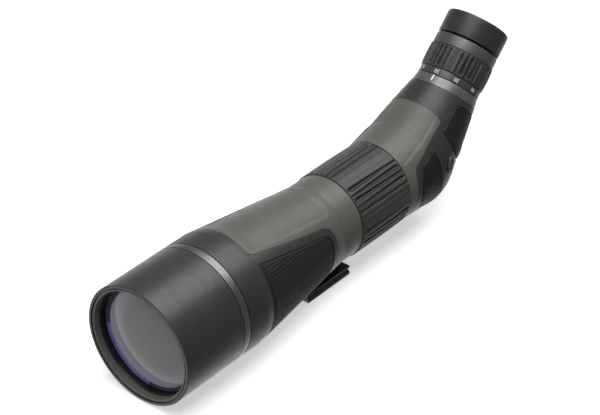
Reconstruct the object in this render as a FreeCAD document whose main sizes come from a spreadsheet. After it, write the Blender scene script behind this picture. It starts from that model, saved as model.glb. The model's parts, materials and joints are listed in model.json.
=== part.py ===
import FreeCAD, Part
import math
import os
import Sketcher

# Angled spotting scope, 85 mm class.
# Two axes carry every turned piece.  "Station" is the distance along an axis in mm:
#   main axis      station 0 is the rim of the sunshade, counted back towards the eyepiece
#   eyepiece axis  station 0 is the elbow, where the two axes cross, counted towards the eye
# The row frame has its origin at the centre of the foot's base: +Z up, -Y towards the view.

SIZES = {
    # placing
    "axis_height": 48.5,
    "foot_station": 191.3,
    "elbow_station": 317.6,
    "elbow_angle": 45.0,
    # sunshade and objective
    "rim_radius": 48.0,
    "shade_end": 59.5,
    "shade_bore": 46.25,
    "mouth_radius": 43.3,
    "lip_depth": 6.0,
    "cell_front": 6.4,
    "cell_radius": 46.0,
    "cell_bore": 44.2,
    "aperture_radius": 42.4,
    "lens_seat": 11.3,
    "band_start": 60.0,
    "band_end": 66.2,
    "ring_start": 66.8,
    "ring_end": 91.3,
    # conical barrel and neck
    "cone_start": 91.9,
    "cone_front_radius": 47.35,
    "cone_end": 190.1,
    "cone_rear_radius": 35.4,
    "skin": 1.6,
    "neck_start": 190.6,
    "neck_end": 211.3,
    "neck_radius": 34.95,
    "neck_core": 33.4,
    # focus ring
    "focus_start": 211.9,
    "focus_end": 270.6,
    "focus_radius": 36.1,
    "focus_core": 33.6,
    "focus_tube": 31.0,
    "focus_bore": 28.5,
    "focus_travel": 9.0,
    # rib pattern shared by both rings
    "rib_clusters": 6,
    "ribs_each": 5,
    # prism housing
    "housing_start": 271.2,
    "housing_radius": 35.5,
    "bend_height": 50.0,
    "bend_back": 21.0,
    "base_start": 36.3,
    "collar_start": 58.4,
    # eyepiece
    "collar_end": 66.35,
    "number_start": 67.1,
    "number_end": 72.5,
    "number_radius": 26.35,
    "knob_start": 73.4,
    "knob_end": 92.7,
    "knob_radius": 27.4,
    "knob_core": 25.0,
    "rear_ring_start": 93.2,
    "rear_ring_end": 102.1,
    "rear_ring_radius": 26.5,
    "eye_tube": 21.5,
    "eye_bore": 17.5,
    "zoom_travel": 9.0,
    "cup_start": 104.0,
    "cup_end": 123.7,
    "cup_radius": 26.5,
    # foot
    "foot_length": 50.0,
    "foot_half_width": 19.0,
    "foot_thickness": 8.2,
    "tripod_radius": 3.175,
    "tripod_depth": 8.0,
    # running fits
    "running_gap": 0.08,
}

X = FreeCAD.Vector(1, 0, 0)
Y = FreeCAD.Vector(0, 1, 0)
Z = FreeCAD.Vector(0, 0, 1)

doc = FreeCAD.newDocument("spotting_scope")
sheet = doc.addObject("Spreadsheet::Sheet", "Sizes")
sub_parts = []


class Dim:
    """A length tied to one cell of the sheet, with an optional offset."""

    def __init__(self, alias, plus=0.0):
        self.value = SIZES[alias] + plus
        self.formula = f"Sizes.{alias} + {plus}"


def size_of(dim):
    return dim.value if isinstance(dim, Dim) else float(dim)


def fill_sheet():
    for row, (alias, number) in enumerate(SIZES.items(), start=1):
        sheet.set(f"A{row}", alias)
        sheet.set(f"B{row}", str(number))
        sheet.setAlias(f"B{row}", alias)
    doc.recompute()


def place(item, axis):
    """Put an object that is drawn about its local Y axis on the main or the eyepiece axis."""
    turn = FreeCAD.Rotation()
    back = "-Sizes.foot_station"
    if axis == "eye":
        turn = FreeCAD.Rotation(X, SIZES["elbow_angle"])
        back = "Sizes.elbow_station - Sizes.foot_station"
    item.Placement = FreeCAD.Placement(FreeCAD.Vector(), turn)
    item.setExpression("Placement.Base.y", back)
    item.setExpression("Placement.Base.z", "Sizes.axis_height")


def keep(item, label):
    item.Label = label
    sub_parts.append(item)
    return item


def solid(label, shape, axis="main"):
    """A sub-part whose shape comes from Part functions, in the axis' own frame."""
    item = doc.addObject("Part::Feature", label)
    item.Shape = shape
    place(item, axis)
    return keep(item, label)


def origin_plane(body, role):
    return next(plane for plane in body.Origin.OriginFeatures if plane.Role == role)


def pin_down(sketch, index, point):
    """Tie the start of a sketch edge to its station and radius."""
    for kind, axis_line, dim in (("DistanceX", -2, point[0]), ("DistanceY", -1, point[1])):
        if abs(size_of(dim)) < 1e-9:
            sketch.addConstraint(Sketcher.Constraint("PointOnObject", index, 1, axis_line))
            continue
        fixed = Sketcher.Constraint(kind, -1, 1, index, 1, size_of(dim))
        number = sketch.addConstraint(fixed)
        if isinstance(dim, Dim):
            sketch.setExpression(f"Constraints[{number}]", dim.formula)


def sagged_arc(start, end, sag):
    """Arc from start to end whose middle stands off by sag along the axis."""
    middle = (start + end) * 0.5 + FreeCAD.Vector(sag, 0, 0)
    return Part.Arc(start, middle, end)


def profile_sketch(body, points, sags=None):
    """Closed outline of (station, radius) points; sags gives the arcs of a lens."""
    sketch = body.newObject("Sketcher::SketchObject", body.Name + "_outline")
    sketch.AttachmentSupport = [(origin_plane(body, "YZ_Plane"), "")]
    sketch.MapMode = "FlatFace"
    spots = [FreeCAD.Vector(size_of(a), size_of(b), 0) for a, b in points]
    count = len(spots)
    for index in range(count):
        start, end = spots[index], spots[(index + 1) % count]
        sag = (sags or {}).get(index)
        edge = Part.LineSegment(start, end) if sag is None else sagged_arc(start, end, sag)
        sketch.addGeometry(edge, False)
    for index in range(count):
        reversed_arc = is_reversed(sketch, index, spots[index])
        if reversed_arc:
            sketch.addConstraint(Sketcher.Constraint("Block", index))
    for index in range(count):
        following = (index + 1) % count
        end_side = 1 if is_reversed(sketch, index, spots[index]) else 2
        start_side = 2 if is_reversed(sketch, following, spots[following]) else 1
        sketch.addConstraint(Sketcher.Constraint("Coincident", index, end_side, following, start_side))
    for index, point in enumerate(points):
        if (sags or {}).get(index) is None:
            pin_down(sketch, index, point)
    return sketch


def is_reversed(sketch, index, start):
    """Sketcher keeps arcs anticlockwise, so an arc may run from its end to its start."""
    return sketch.getPoint(index, 1).distanceToPoint(start) > 1e-6


def turned(label, points, axis="main", sags=None):
    """A lathe-turned piece: its outline revolved about the axis."""
    body = doc.addObject("PartDesign::Body", label)
    sketch = profile_sketch(body, points, sags)
    spin = body.newObject("PartDesign::Revolution", label + "_turn")
    spin.Profile = sketch
    spin.ReferenceAxis = (sketch, ["H_Axis"])
    spin.Angle = 360.0
    body.Tip = spin
    place(body, axis)
    return keep(body, label)


def tube(label, start, end, bore, outer, axis="main"):
    points = [(start, bore), (start, outer), (end, outer), (end, bore)]
    return turned(label, points, axis)


def lens(label, start, end, radius, front_sag, rear_sag, axis="main"):
    """A round lens: edge stations, radius, and how far each face stands off its edge."""
    front_vertex = FreeCAD.Vector(0, start + front_sag, 0)
    rear_vertex = FreeCAD.Vector(0, end + rear_sag, 0)
    front_rim = FreeCAD.Vector(0, start, radius)
    rear_rim = FreeCAD.Vector(0, end, radius)
    edges = [
        cap_arc(front_vertex, front_rim, front_sag),
        Part.LineSegment(front_rim, rear_rim).toShape(),
        cap_arc(rear_vertex, rear_rim, rear_sag),
        Part.LineSegment(rear_vertex, front_vertex).toShape(),
    ]
    outline = Part.Face(Part.Wire(Part.__sortEdges__(edges)))
    return solid(label, outline.revolve(FreeCAD.Vector(), Y, 360), axis)


def cap_arc(vertex, rim, sag):
    """Spherical face from the axis to the rim, drawn through its quarter-height point."""
    half = rim.z / 2
    radius = (rim.z ** 2 + sag ** 2) / (2 * abs(sag))
    depth = radius - math.sqrt(radius ** 2 - half ** 2)
    middle = FreeCAD.Vector(0, vertex.y - math.copysign(depth, sag), half)
    return Part.Arc(vertex, middle, rim).toShape()


def polygon_solid(points, half_width):
    """Side-view outline (station, height) carried across X from -half_width to +half_width."""
    spots = [FreeCAD.Vector(-half_width, y, z) for y, z in points]
    outline = Part.makePolygon(spots + spots[:1])
    return Part.Face(outline).extrude(X * (2 * half_width))


def rod_x(radius, start_x, end_x, station, height=0.0):
    low, high = sorted((start_x, end_x))
    return Part.makeCylinder(radius, high - low, FreeCAD.Vector(low, station, height), X)


def rod_z(radius, low, high, station, x=0.0):
    return Part.makeCylinder(radius, high - low, FreeCAD.Vector(x, station, low), Z)


def shell_of_revolution(points):
    """Plain revolved solid about the local Y axis, used as a tool or a skin."""
    spots = [FreeCAD.Vector(0, y, z) for y, z in points]
    outline = Part.Face(Part.makePolygon(spots + spots[:1]))
    return outline.revolve(FreeCAD.Vector(), Y, 360)


# ---------------------------------------------------------------- ribbed rubber rings

def rib_groove(start, end, radius, depth, width):
    """One spindle-shaped groove: a long thin lens of rotation lying on the ring's surface."""
    half = (end - start) / 2
    centre = (start + end) / 2
    ends = [FreeCAD.Vector(0, centre - half, radius), FreeCAD.Vector(0, centre + half, radius)]
    belly = FreeCAD.Vector(0, centre, radius - depth)
    outline = Part.Wire([Part.Arc(ends[0], belly, ends[1]).toShape(),
                         Part.LineSegment(ends[1], ends[0]).toShape()])
    spindle = Part.Face(outline).revolve(ends[0], Y, 360)
    squeeze = FreeCAD.Matrix()
    squeeze.scale(width / depth, 1, 1)
    return spindle.transformGeometry(squeeze)


def ribbed_ring(label, start, end, core, outer, pitch, depth, width, axis):
    """A moulded rubber sleeve with clusters of tapered grooves between wide plain lands."""
    crown = 0.35
    low = outer - crown
    middle = (start + end) / 2
    ends = [FreeCAD.Vector(0, start, core), FreeCAD.Vector(0, start, low),
            FreeCAD.Vector(0, end, low), FreeCAD.Vector(0, end, core)]
    edges = [
        Part.LineSegment(ends[0], ends[1]).toShape(),
        Part.Arc(ends[1], FreeCAD.Vector(0, middle, outer), ends[2]).toShape(),
        Part.LineSegment(ends[2], ends[3]).toShape(),
        Part.LineSegment(ends[3], ends[0]).toShape(),
    ]
    ring = Part.Face(Part.Wire(edges)).revolve(FreeCAD.Vector(), Y, 360)
    inset = (end - start) * 0.05
    tool = rib_groove(start + inset, end - inset, outer + 0.1, depth, width)
    clusters, each = SIZES["rib_clusters"], SIZES["ribs_each"]
    first = 90 - 43
    grooves = []
    for cluster in range(clusters):
        for rib in range(each):
            angle = first + cluster * 360 / clusters + (rib - (each - 1) / 2) * pitch
            groove = tool.copy()
            groove.rotate(FreeCAD.Vector(), Y, angle)
            grooves.append(groove)
    return solid(label, ring.cut(grooves), axis)


# ---------------------------------------------------------------- sunshade (slides forward)

def build_sunshade():
    rim, bore, end = Dim("rim_radius"), Dim("shade_bore"), Dim("shade_end")
    seat = Dim("shade_bore", 0.5)
    lip = Dim("lip_depth")
    turned("sunshade_tube", [
        (0, Dim("mouth_radius", 1.3)), (0, Dim("rim_radius", -0.8)), (0.8, rim),
        (end, rim), (end, bore), (Dim("shade_end", -1.5), bore), (Dim("shade_end", -1.5), seat),
        (Dim("shade_end", -9.5), seat), (Dim("shade_end", -9.5), bore), (lip, bore),
        (lip, Dim("mouth_radius", 1.3)),
    ])
    tube("sunshade_mouth_ring", 0.9, lip, Dim("mouth_radius"), Dim("mouth_radius", 1.3))
    tube("sunshade_guide_band", Dim("shade_end", -9.5), Dim("shade_end", -1.5),
         Dim("cell_radius", 0.06), seat)


# ---------------------------------------------------------------- objective

def build_objective():
    cell, bore = Dim("cell_radius"), Dim("cell_bore")
    front, back = Dim("cell_front"), Dim("ring_end")
    shoulder, ledge = 29.8, 33.8
    turned("objective_cell", [
        (front, bore), (front, cell), (back, cell), (back, Dim("cell_bore", -1.0)),
        (ledge, Dim("cell_bore", -1.0)), (ledge, 41.5), (shoulder, 41.5), (shoulder, bore),
    ])
    tube("lens_retaining_ring", front, Dim("lens_seat", -0.35), Dim("aperture_radius"), bore)
    lens_start = SIZES["lens_seat"]
    edge = SIZES["cell_bore"] - 0.2
    lens("objective_lens_front", lens_start, lens_start + 6.0, edge, -3.7, 2.2)
    tube("objective_lens_spacer", Dim("lens_seat", 6.25), Dim("lens_seat", 6.6), 43.0,
         Dim("cell_bore", -0.2))
    lens("objective_lens_rear", lens_start + 6.7, shoulder - 1.2, edge, 2.3, 1.0)
    tube("objective_seal", shoulder - 1.05, shoulder, 42.0, bore)


def build_front_trim():
    cell, rim = Dim("cell_radius"), Dim("rim_radius")
    turned("trim_band", [
        (Dim("band_start"), cell), (Dim("band_start"), Dim("rim_radius", -0.3)),
        (Dim("band_start", 0.3), rim), (Dim("band_end", -0.3), rim),
        (Dim("band_end"), Dim("rim_radius", -0.3)), (Dim("band_end"), cell),
    ])
    turned("front_ring", [
        (Dim("ring_start"), cell), (Dim("ring_start"), Dim("rim_radius", -0.3)),
        (Dim("ring_start", 0.35), Dim("rim_radius", 0.05)),
        (Dim("ring_end", -0.7), Dim("rim_radius", 0.05)),
        (Dim("ring_end"), Dim("rim_radius", -0.5)), (Dim("ring_end"), cell),
    ])


# ---------------------------------------------------------------- barrel, skins and foot

def cone_radius(station):
    run = (station - SIZES["cone_start"]) / (SIZES["cone_end"] - SIZES["cone_start"])
    return SIZES["cone_front_radius"] + run * (SIZES["cone_rear_radius"] - SIZES["cone_front_radius"])


def cone_skin(inner_drop, outer_drop, start=None, end=None):
    """Part of the cone's skin between two depths below its surface."""
    first = SIZES["cone_start"] if start is None else start
    last = SIZES["cone_end"] if end is None else end
    return shell_of_revolution([
        (first, cone_radius(first) - inner_drop), (first, cone_radius(first) - outer_drop),
        (last, cone_radius(last) - outer_drop), (last, cone_radius(last) - inner_drop),
    ])


def foot_stem():
    """Block that ties the foot to the barrel."""
    middle = SIZES["foot_station"]
    low = SIZES["foot_thickness"] - SIZES["axis_height"]
    return Part.makeBox(26.0, 38.0, 12.0, FreeCAD.Vector(-13.0, middle - 20.5, low))


def build_barrel():
    """Cast barrel: spigot in the cell, cone, neck, and the tube that the focus ring runs on."""
    core = Dim("cell_bore", -1.0)
    skin_front = SIZES["cone_front_radius"] - SIZES["skin"]
    skin_rear = SIZES["cone_rear_radius"] - SIZES["skin"]
    tube_radius, bore = Dim("focus_tube"), Dim("focus_bore")
    groove = Dim("focus_bore", 1.1)
    points = [
        (80.0, 41.0), (80.0, core), (Dim("ring_end"), core), (Dim("ring_end"), skin_front),
        (Dim("cone_start"), skin_front), (Dim("cone_end"), skin_rear),
        (Dim("cone_end"), Dim("neck_core")), (Dim("neck_end"), Dim("neck_core")),
        (Dim("neck_end"), tube_radius),
    ]
    for start in (216.0, 264.0):
        points += [(start, tube_radius), (start, groove), (start + 1.9, groove),
                   (start + 1.9, tube_radius)]
    points += [(Dim("housing_start", 5.8), tube_radius), (Dim("housing_start", 5.8), bore),
               (192.0, bore), (188.0, 31.0), (95.0, 41.0)]
    body = turned("objective_barrel", points)
    cut_pin_slots(body, 241.0, SIZES["focus_travel"], 2.6, SIZES["focus_tube"] + 2)
    rings = [Part.makeTorus(SIZES["focus_tube"] - 0.72, 0.68, FreeCAD.Vector(0, start + 0.95, 0), Y)
             for start in (216.0, 264.0)]
    solid("focus_seals", Part.makeCompound(rings))
    return body


def cut_pin_slots(body, station, travel, half_width, reach):
    """Two straight slots through a tube's wall, on the +X and -X sides."""
    sketch = body.newObject("Sketcher::SketchObject", body.Name + "_slot")
    sketch.AttachmentSupport = [(origin_plane(body, "YZ_Plane"), "")]
    sketch.MapMode = "FlatFace"
    low, high = station - half_width, station + half_width
    if body.Label == "objective_barrel":
        low -= travel
    high += travel
    corners = [FreeCAD.Vector(low, -half_width, 0), FreeCAD.Vector(high, -half_width, 0),
               FreeCAD.Vector(high, half_width, 0), FreeCAD.Vector(low, half_width, 0)]
    for index in range(4):
        sketch.addGeometry(Part.LineSegment(corners[index], corners[(index + 1) % 4]), False)
    for index in range(4):
        sketch.addConstraint(Sketcher.Constraint("Coincident", index, 2, (index + 1) % 4, 1))
    pocket = body.newObject("PartDesign::Pocket", body.Name + "_slots")
    pocket.Profile = sketch
    pocket.Length = 2 * reach
    pocket.Midplane = True
    body.Tip = pocket


def build_cone_skins():
    """Painted top cover, black lower armour and the two ribbed side grips of the cone."""
    skin = SIZES["skin"]
    full = cone_skin(skin, 0.0)
    start, black_end = SIZES["cone_start"] - 1, 179.5
    black_zone = polygon_solid([
        (start, -60.0), (start, 39.8), (93.5, 39.4), (170.0, 23.6), (176.0, 20.5),
        (black_end, 14.0), (black_end, -60.0)], 60.0)
    grip_zone = polygon_solid([
        (92.6, -31.0), (92.6, 34.0), (94.0, 35.3), (168.0, 18.8), (172.5, 15.5), (174.0, 11.0),
        (174.0, -20.0), (170.0, -23.5), (96.0, -33.5)], 60.0)
    stem = foot_stem()
    solid("top_cover", full.cut([black_zone, stem]))
    armour = full.common(black_zone).cut([grip_pads(grip_zone, 1), grip_pads(grip_zone, -1), stem])
    solid("lower_armour", armour)
    solid("side_grip_right", grip_pads(grip_zone, 1))
    solid("side_grip_left", grip_pads(grip_zone, -1))
    neck = shell_of_revolution([
        (SIZES["neck_start"], SIZES["neck_core"]), (SIZES["neck_start"], SIZES["neck_radius"]),
        (SIZES["neck_end"], SIZES["neck_radius"]), (SIZES["neck_end"], SIZES["neck_core"])])
    solid("neck_collar", neck.cut(stem))


def half_space(side, first=-400.0, last=600.0):
    """Everything on one side of the middle plane."""
    low = 0.0 if side > 0 else -80.0
    return Part.makeBox(80.0, last - first, 400.0, FreeCAD.Vector(low, first, -200.0))


def grip_pads(zone, side):
    return cone_skin(0.9, -0.25).common(zone).common(half_space(side))


def build_foot():
    """Dovetail foot with its stem, two screws and the tripod insert."""
    base = -SIZES["axis_height"]
    half, top = SIZES["foot_half_width"], SIZES["foot_thickness"]
    middle, length = SIZES["foot_station"], SIZES["foot_length"]
    right = [(half - 0.4, 0.0), (half, 0.4), (half, 2.3), (half - 2.1, 4.4), (half - 0.2, 6.3),
             (half - 0.2, top - 0.3), (half - 0.5, top)]
    outline = right + [(-x, z) for x, z in reversed(right)]
    spots = [FreeCAD.Vector(x, middle - length / 2, base + z) for x, z in outline]
    plate = Part.Face(Part.makePolygon(spots + spots[:1])).extrude(Y * length)
    envelope = shell_of_revolution([
        (91.3, 0.0), (91.3, cone_radius(91.3) - SIZES["skin"]),
        (SIZES["cone_end"], SIZES["cone_rear_radius"] - SIZES["skin"]),
        (SIZES["cone_end"], SIZES["neck_core"]), (SIZES["neck_end"], SIZES["neck_core"]),
        (SIZES["neck_end"], 0.0)])
    foot = plate.fuse(foot_stem().cut(envelope)).removeSplitter()
    insert_hole = rod_z(4.6, base, base + SIZES["tripod_depth"] + 1.5, middle)
    screw_places = (middle - 13.0, middle + 10.0)
    heads = [rod_z(3.6, base, base + 5.0, station) for station in screw_places]
    shanks = [rod_z(2.0, base, base + 30.0, station) for station in screw_places]
    solid("mounting_foot", foot.cut([insert_hole] + heads + shanks))
    insert = rod_z(4.6, base, base + SIZES["tripod_depth"] + 1.5, middle)
    threaded = rod_z(SIZES["tripod_radius"], base, base + SIZES["tripod_depth"], middle)
    solid("tripod_insert", insert.cut(threaded))
    screws = []
    for station in screw_places:
        head = rod_z(3.4, base + 0.8, base + 5.0, station)
        shank = rod_z(2.0, base + 5.0, base + 16.2, station)
        socket = hex_socket(station, base + 0.8, 2.6, 2.2)
        screws.append(head.fuse(shank).cut(socket))
    solid("foot_screws", Part.makeCompound(screws))


def hex_socket(station, low, radius, depth):
    """Hexagonal key socket opening downwards."""
    corners = [FreeCAD.Vector(radius * math.cos(math.radians(60 * k)),
                              station + radius * math.sin(math.radians(60 * k)), low - 0.1)
               for k in range(6)]
    return Part.Face(Part.makePolygon(corners + corners[:1])).extrude(Z * (depth + 0.1))


# ---------------------------------------------------------------- focusing

def build_focus():
    """Ring with its metal hub, and the lens cell that it drives through two pins."""
    bore, core = Dim("focus_tube", SIZES["running_gap"]), Dim("focus_core")
    relief = Dim("focus_core", -1.0)
    start, end = Dim("focus_start"), Dim("focus_end")
    turned("focus_hub", [
        (start, bore), (start, core), (end, core), (end, bore),
        (256.0, bore), (256.0, relief), (226.0, relief), (226.0, bore)])
    ribbed_ring("focus_grip", SIZES["focus_start"], SIZES["focus_end"], SIZES["focus_core"],
                SIZES["focus_radius"], 7.4, 1.5, 1.9, "main")
    pin_station, pin_radius = 241.0, 2.5
    cell = turned("focus_lens_cell", [
        (231.0, 25.0), (231.0, Dim("focus_bore", -0.06)), (251.0, Dim("focus_bore", -0.06)),
        (251.0, 23.0), (249.0, 23.0), (249.0, 25.0)])
    cut_round_holes(cell, pin_station, pin_radius)
    lens("focus_lens", 239.0, 248.7, 24.9, 1.6, 1.2)
    tube("focus_lens_ring", 236.5, 239.0, 23.2, 25.0)
    pins = [rod_x(pin_radius, side * 26.0, side * 32.2, pin_station) for side in (-1, 1)]
    solid("focus_pins", Part.makeCompound(pins))


def cut_round_holes(body, station, radius):
    """Cross hole for a pair of drive pins."""
    sketch = body.newObject("Sketcher::SketchObject", body.Name + "_hole")
    sketch.AttachmentSupport = [(origin_plane(body, "YZ_Plane"), "")]
    sketch.MapMode = "FlatFace"
    sketch.addGeometry(Part.Circle(FreeCAD.Vector(station, 0, 0), Z, radius), False)
    pocket = body.newObject("PartDesign::Pocket", body.Name + "_holes")
    pocket.Profile = sketch
    pocket.Length = 80.0
    pocket.Midplane = True
    body.Tip = pocket


# ---------------------------------------------------------------- prism housing

def section(point, lean, half_width, up, down, shrink):
    """Closed smooth outline across the housing, in a plane that leans back by lean degrees."""
    rise = FreeCAD.Vector(0, -math.sin(math.radians(lean)), math.cos(math.radians(lean)))
    centre = FreeCAD.Vector(0, point[0], point[1]) + rise * ((up - down) / 2)
    tall = (up + down) / 2 - shrink
    wide = half_width - shrink
    count = 24
    spots = []
    for index in range(count):
        angle = 2 * math.pi * index / count
        spots.append(centre + X * (wide * math.cos(angle)) + rise * (tall * math.sin(angle)))
    curve = Part.BSplineCurve()
    curve.interpolate(spots, PeriodicFlag=True)
    return Part.Wire(curve.toShape())


def eye_point(station):
    """Point of the eyepiece axis, in the main axis' frame."""
    lean = math.radians(SIZES["elbow_angle"])
    return (SIZES["elbow_station"] + station * math.cos(lean), station * math.sin(lean))


def housing_sections(shrink):
    """Sections from the round collar, round the bend, to the round eyepiece end."""
    start, end = SIZES["housing_start"], SIZES["collar_start"]
    bend = (SIZES["elbow_station"] - SIZES["bend_back"], SIZES["bend_height"])
    bend_end = (bend[0] + bend[1] - SIZES["elbow_station"]) * math.sin(math.radians(45.0))
    wires = []
    for part in (0.0, 0.33, 0.67):
        station = start + part * (bend[0] - start)
        wires.append(section((station, 0.0), 0.0, 35.5 + 2.7 * part, 35.8 + 5.5 * part, 35.4, shrink))
    fan = [(0.0, 8.7, 85.0, 38.1), (11.25, 8.5, 88.2, 38.5), (22.5, 8.3, 87.6, 38.3),
           (33.75, 8.5, 82.4, 36.9), (45.0, 9.0, 80.2, 35.7)]
    for lean, top, bottom, half_width in fan:
        down = FreeCAD.Vector(0, math.sin(math.radians(lean)), -math.cos(math.radians(lean)))
        middle = (bend[0] + down.y * (top + bottom) / 2, bend[1] + down.z * (top + bottom) / 2)
        half = (bottom - top) / 2
        wires.append(section(middle, lean, half_width, half, half, shrink))
    for part in (0.2, 0.4, 0.6, 0.8, 1.0):
        station = bend_end + part * (end - bend_end)
        wide, drift = 39.7 - 0.198 * station, 8.2 - 0.131 * station
        wires.append(section(eye_point(station), 45.0, wide, wide + drift, wide - drift, shrink))
    return wires


def housing_loft(shrink):
    return Part.makeLoft(housing_sections(shrink), True, False)


def eye_block(first, last, low, high, half_width=80.0):
    """Box in the eyepiece's frame: stations first to last, heights low to high."""
    block = Part.makeBox(2 * half_width, last - first, high - low,
                         FreeCAD.Vector(-half_width, first, low))
    return to_main(block)


def to_main(shape):
    """Carry a shape from the eyepiece's frame to the main frame."""
    moved = shape.copy()
    moved.Placement = FreeCAD.Placement(FreeCAD.Vector(0, SIZES["elbow_station"], 0),
                                        FreeCAD.Rotation(X, SIZES["elbow_angle"]))
    return moved


def olive_zone():
    """Side-view outline of the painted top of the housing, as far as the black eyepiece base."""
    front = SIZES["housing_start"] - 5
    lean = math.sin(math.radians(45.0))
    corner = eye_point(SIZES["base_start"])
    low_end = (corner[0] - 28.5 * lean, corner[1] + 28.5 * lean)
    far = (corner[0] - 90 * lean, corner[1] + 90 * lean)
    return polygon_solid([
        (front, -60.0), (279.5, -60.0), (279.9, -7.0), (280.6, 8.0), (282.3, 16.3), (284.6, 21.3),
        (291.9, 25.0), (302.0, 29.3), (310.5, 34.5), (317.1, 38.8), (322.0, 43.0), low_end, far,
        (front, far[1])], 60.0)


def build_housing():
    skin = SIZES["skin"]
    outer, inner = housing_loft(0.0), housing_loft(skin)
    jacket = outer.cut(inner)
    olive = olive_zone()
    lower_zone = polygon_solid([
        (289.0, -30.0), (286.2, -12.4), (284.8, -3.0), (285.0, 6.2), (286.2, 12.5), (288.4, 18.5),
        (290.5, 20.6), (301.0, 25.9), (304.6, 25.8), (306.8, 18.0), (307.5, 8.0), (308.2, -2.0),
        (310.5, -10.0), (313.2, -17.0), (313.0, -30.0)], 60.0)
    upper_zone = to_main(polygon_solid([
        (27.4, 23.5), (51.0, 16.8), (52.6, 14.5), (53.0, -17.0), (17.0, -19.0), (15.0, -4.0),
        (19.0, 8.7), (23.5, 17.8)], 60.0))
    raised, floor = housing_loft(-0.25), housing_loft(0.9)
    pads = {}
    for place_name, zone in (("lower", lower_zone), ("upper", upper_zone)):
        for side_name, side in (("right", 1), ("left", -1)):
            pad = raised.common(zone.common(half_space(side))).cut(floor)
            pads[f"housing_grip_{place_name}_{side_name}"] = pad
    solid("housing_top_cover", jacket.common(olive))
    solid("housing_armour", jacket.cut([olive] + list(pads.values())))
    for name, pad in pads.items():
        solid(name, pad)
    build_housing_core(inner)


def build_housing_core(inner):
    """Cast shell: front wall bored for the barrel, hollow for the prism, rear bore."""
    cavity = housing_loft(4.2)
    front_wall = Part.makeBox(120.0, 281.0 - 260.0, 120.0, FreeCAD.Vector(-60.0, 260.0, -60.0))
    rear_wall = eye_block(50.0, 90.0, -60.0, 60.0)
    hollow = cavity.cut([front_wall, rear_wall])
    start = SIZES["housing_start"]
    socket = Part.makeCylinder(SIZES["focus_tube"], 5.8, FreeCAD.Vector(0, start, 0), Y)
    light_path = Part.makeCylinder(27.0, 16.0, FreeCAD.Vector(0, start, 0), Y)
    eye_socket = to_main(Part.makeCylinder(SIZES["eye_tube"], 20.0, FreeCAD.Vector(0, 45.0, 0), Y))
    solid("prism_housing", inner.cut([hollow, socket, light_path, eye_socket]))


def build_prism():
    """Roof prism that turns the light by 45 degrees, with its bracket, clamp and screws."""
    elbow = SIZES["elbow_station"]
    face, apex = 40.0, 14.0
    front = elbow + (1 + math.sqrt(2)) * apex - face
    slant = face * math.sin(math.radians(45.0))
    half = 12.0
    body = polygon_solid([(front, apex), (front, apex - face), (front + slant, apex - slant)], half)
    low = FreeCAD.Vector(0, front, apex - face)
    ridge = FreeCAD.Vector(0, front + slant, apex - slant) - low
    length = ridge.Length
    ridge.normalize()
    up = X.cross(ridge)
    wedge_points = [low - ridge * 5, low - ridge * 5 + X * 40 + up * 40, low - ridge * 5 - X * 40 + up * 40]
    wedge = Part.Face(Part.makePolygon(wedge_points + wedge_points[:1])).extrude(ridge * (length + 10))
    solid("prism", body.common(wedge))
    plate = Part.makeCylinder(31.0, 2.5, FreeCAD.Vector(0, 281.0, 0), Y)
    window = Part.makeCylinder(17.0, 2.5, FreeCAD.Vector(0, 281.0, 0), Y)
    bracket = plate.cut(window)
    for side in (1, -1):
        cheek_x = half + 0.1 if side > 0 else -half - 2.6
        foot_x = half + 0.1 if side > 0 else -26.0
        cheek = Part.makeBox(2.5, front + 16 - 283.5, 30.0, FreeCAD.Vector(cheek_x, 283.5, -22.0))
        ear = Part.makeBox(26.0 - half - 0.1, 3.0, 16.0, FreeCAD.Vector(foot_x, 283.5, -8.0))
        bracket = bracket.fuse([cheek, ear])
    screw_angles = (90, 210, 330)
    screws = []
    for angle in screw_angles:
        x, z = 28.6 * math.cos(math.radians(angle)), 28.6 * math.sin(math.radians(angle))
        shank = Part.makeCylinder(1.2, 7.5, FreeCAD.Vector(x, 276.0 + 1.2, z), Y)
        head = Part.makeCylinder(2.2, 1.6, FreeCAD.Vector(x, 283.5, z), Y)
        screws.append(shank.fuse(head))
    solid("prism_bracket", bracket.removeSplitter().cut(screws))
    solid("prism_screws", Part.makeCompound(screws))
    clamp = Part.makeBox(2 * half + 0.2, 1.4, 6.0, FreeCAD.Vector(-half - 0.1, front - 1.5, -21.0))
    solid("prism_clamp", clamp)


def build_strap_lugs():
    """Raised eyelets for a strap, one on each side behind the lower grip."""
    raised, skin = housing_loft(-1.4), housing_loft(0.0)
    lugs = []
    for side in (1, -1):
        pill = pill_rod(3.3, side, (320.6, 12.5), (318.9, 6.0))
        slot = pill_rod(1.3, side, (320.6, 12.5), (318.9, 6.0))
        lugs.append(raised.common(pill.cut(slot)).cut(skin))
    solid("strap_lugs", Part.makeCompound(lugs))


def pill_rod(radius, side, top, bottom):
    """Long-sided rod across X whose section is a pill between two points (station, height)."""
    ends = [rod_x(radius, side * 15.0, side * 60.0, station, height) for station, height in (top, bottom)]
    along = FreeCAD.Vector(0, bottom[0] - top[0], bottom[1] - top[1])
    across = FreeCAD.Vector(0, -along.z, along.y).normalize() * radius
    start = FreeCAD.Vector(15.0 if side > 0 else -60.0, top[0], top[1])
    corners = [start + across, start + across + along, start - across + along, start - across]
    web = Part.Face(Part.makePolygon(corners + corners[:1])).extrude(X * 45.0)
    return web.fuse(ends).removeSplitter()


# ---------------------------------------------------------------- eyepiece

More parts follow.
